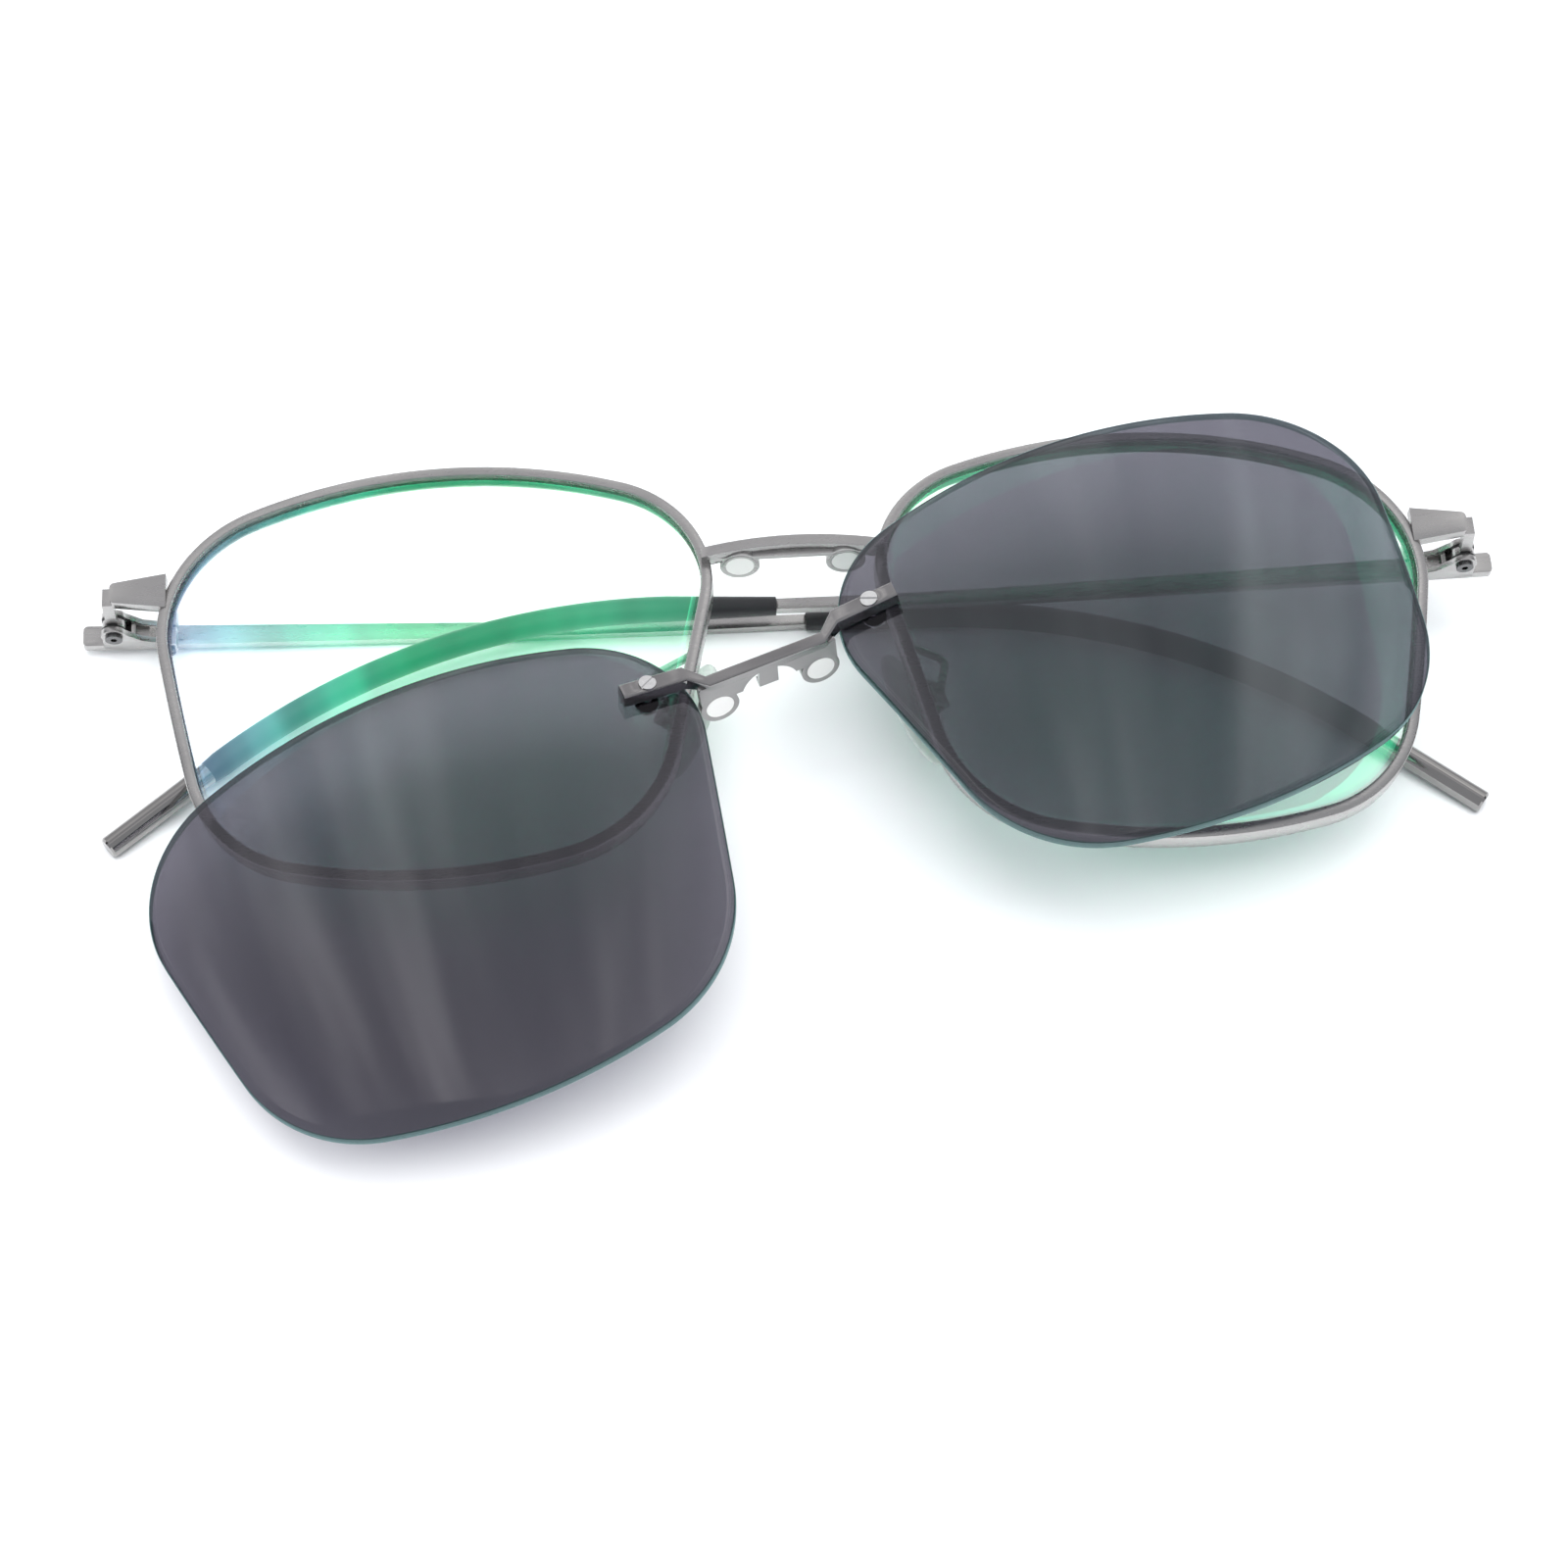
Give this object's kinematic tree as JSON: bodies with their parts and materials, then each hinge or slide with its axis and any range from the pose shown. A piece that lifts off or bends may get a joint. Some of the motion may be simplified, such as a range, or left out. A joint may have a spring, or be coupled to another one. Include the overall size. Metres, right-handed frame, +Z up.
{
  "type": "spectacle frame with magnetic clip-on lenses",
  "caption": "Full-rim metal spectacle frame with clear lenses, folded on slim sleeved temples, with a rimless tinted magnetic clip-on lying askew on top.",
  "frame": {"origin": "middle of the outer box, on the table the folded frame lies on", "axes": "+Z up from the table, +X to the viewer's right along the two lenses, +Y towards the top of the lenses (the hinge side)"},
  "size_m": [0.141, 0.0716, 0.0225],
  "materials": {
    "frame_metal": "satin gunmetal plating",
    "polished_metal": "polished gunmetal plating",
    "clip_metal": "half-polished gunmetal plating",
    "bright_screw": "turned, bright",
    "dark_screw": "turned, dark",
    "magnet": "nickel plated, slightly dull",
    "clear_lens": "clear, green anti-reflection coating",
    "tinted_lens": "grey polarising tint, glossy",
    "silicone": "clear soft silicone",
    "black_sleeve": "matte black moulding",
    "black_nylon": "black nylon"
  },
  "bodies": {
    "front": {"bridge": "frame_metal", "left_bridge_magnet": "magnet", "left_end_piece": "frame_metal", "left_lens": "clear_lens", "left_pad_arm": "frame_metal", "left_pad_screw": "dark_screw", "left_rim": "frame_metal", "left_rim_lock": "frame_metal", "left_rim_screw": "dark_screw", "right_bridge_magnet": "magnet", "right_end_piece": "frame_metal", "right_lens": "clear_lens", "right_pad_arm": "frame_metal", "right_pad_screw": "dark_screw", "right_rim": "frame_metal", "right_rim_lock": "frame_metal", "right_rim_screw": "dark_screw"},
    "clip": {"clip_bridge": "clip_metal", "clip_left_lens": "tinted_lens", "clip_left_magnet": "magnet", "clip_left_nut": "bright_screw", "clip_left_screw": "bright_screw", "clip_left_washer": "black_nylon", "clip_right_lens": "tinted_lens", "clip_right_magnet": "magnet", "clip_right_nut": "bright_screw", "clip_right_screw": "bright_screw", "clip_right_washer": "black_nylon"},
    "left_temple": {"left_hinge_screw": "dark_screw", "left_hinge_washers": "black_nylon", "left_temple": "frame_metal", "left_temple_cap": "polished_metal", "left_temple_sleeve": "black_sleeve"},
    "left_pad": {"left_nose_pad": "silicone"},
    "right_temple": {"right_hinge_screw": "dark_screw", "right_hinge_washers": "black_nylon", "right_temple": "frame_metal", "right_temple_cap": "polished_metal", "right_temple_sleeve": "black_sleeve"},
    "right_pad": {"right_nose_pad": "silicone"}
  },
  "joints": [
    {"name": "left_temple_hinge", "type": "hinge", "parent": "front", "child": "left_temple", "pos_m": [-0.06718, 0.02447, 0.00423], "axis": [-0.0075, 0.9902, 0.1395], "range_deg": [0, 85.4]},
    {"name": "right_temple_hinge", "type": "hinge", "parent": "front", "child": "right_temple", "pos_m": [0.06703, 0.02447, 0.01143], "axis": [0.0075, -0.9902, -0.1395], "range_deg": [0, 88.5]},
    {"name": "left_pad_pivot", "type": "hinge", "parent": "front", "child": "left_pad", "pos_m": [-0.01256, 0.01045, 0.00738], "axis": [0.4995, -0.2993, 0.813], "range_deg": [-10, 10]},
    {"name": "right_pad_pivot", "type": "hinge", "parent": "front", "child": "right_pad", "pos_m": [0.01238, 0.01045, 0.00872], "axis": [-0.5836, -0.2993, 0.7549], "range_deg": [-10, 10]},
    {"name": "clip_lift", "type": "slide", "parent": "front", "child": "clip", "axis": [-0.053, -0.1397, 0.9888], "range_m": [0, 0.05]}
  ]
}
